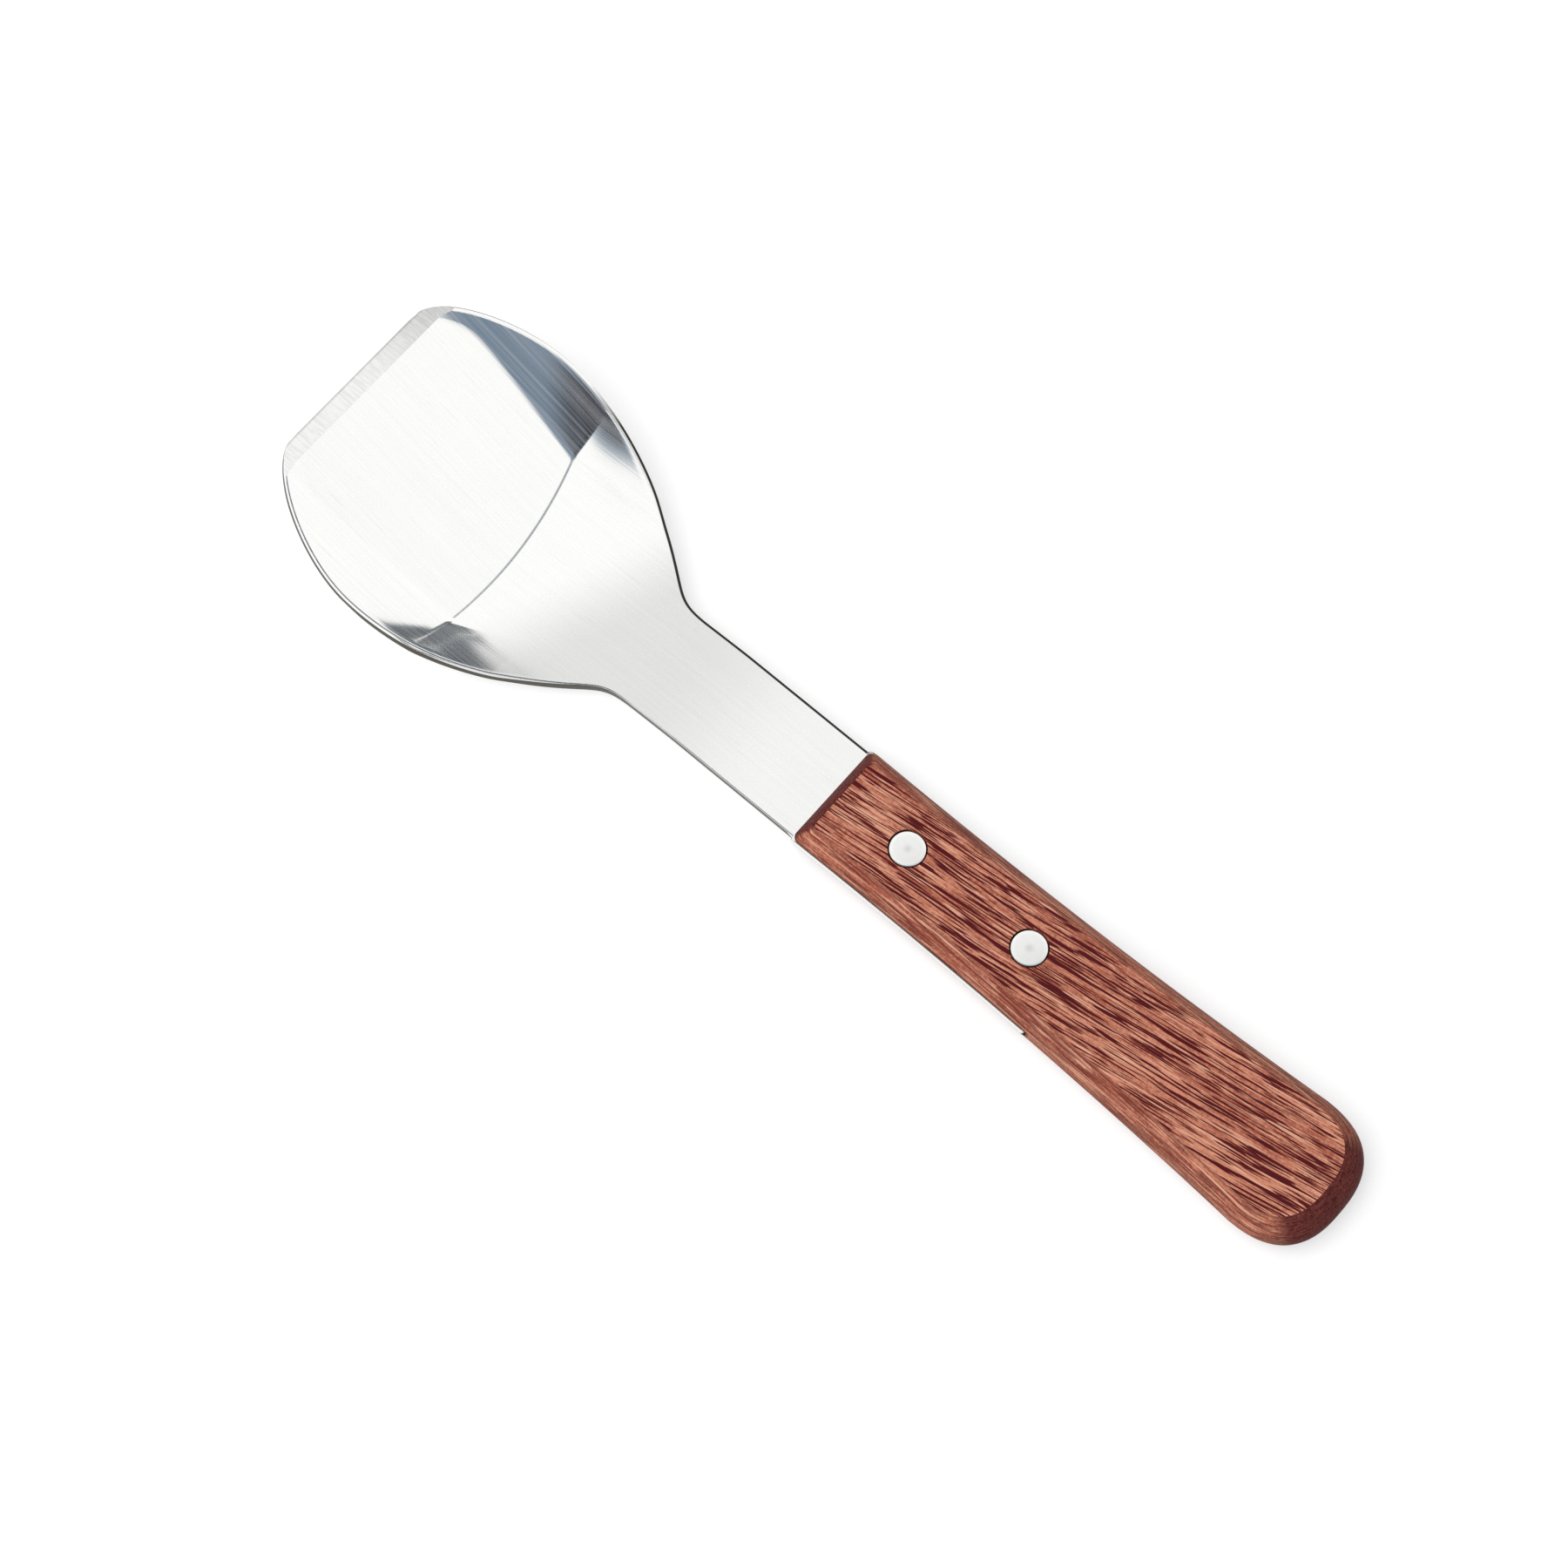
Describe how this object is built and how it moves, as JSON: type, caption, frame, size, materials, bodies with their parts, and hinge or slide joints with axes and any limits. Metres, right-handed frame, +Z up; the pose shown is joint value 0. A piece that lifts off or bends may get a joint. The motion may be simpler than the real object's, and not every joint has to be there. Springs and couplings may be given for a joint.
{
  "type": "ice cream spade",
  "caption": "Flat-edged ice cream spade: dished one-piece steel blade in a slotted wooden handle, held by flush rivets.",
  "frame": {"origin": "middle of the tool's outline in plan, at the height of the surface that it lies on", "axes": "+X along the tool from the leading edge to the handle's end, +Y across it, +Z up, out of the dished side"},
  "size_m": [0.2433, 0.0658, 0.0224],
  "materials": {
    "brushed_steel": "satin, brushed along the tool",
    "reddish_hardwood": "oiled, open pores",
    "satin_rivet_steel": "satin, ground flush"
  },
  "bodies": {
    "root": {"blade": "brushed_steel", "handle": "reddish_hardwood", "front_rivet_barrel": "satin_rivet_steel", "front_rivet_stem": "satin_rivet_steel", "rear_rivet_barrel": "satin_rivet_steel", "rear_rivet_stem": "satin_rivet_steel"}
  },
  "joints": []
}
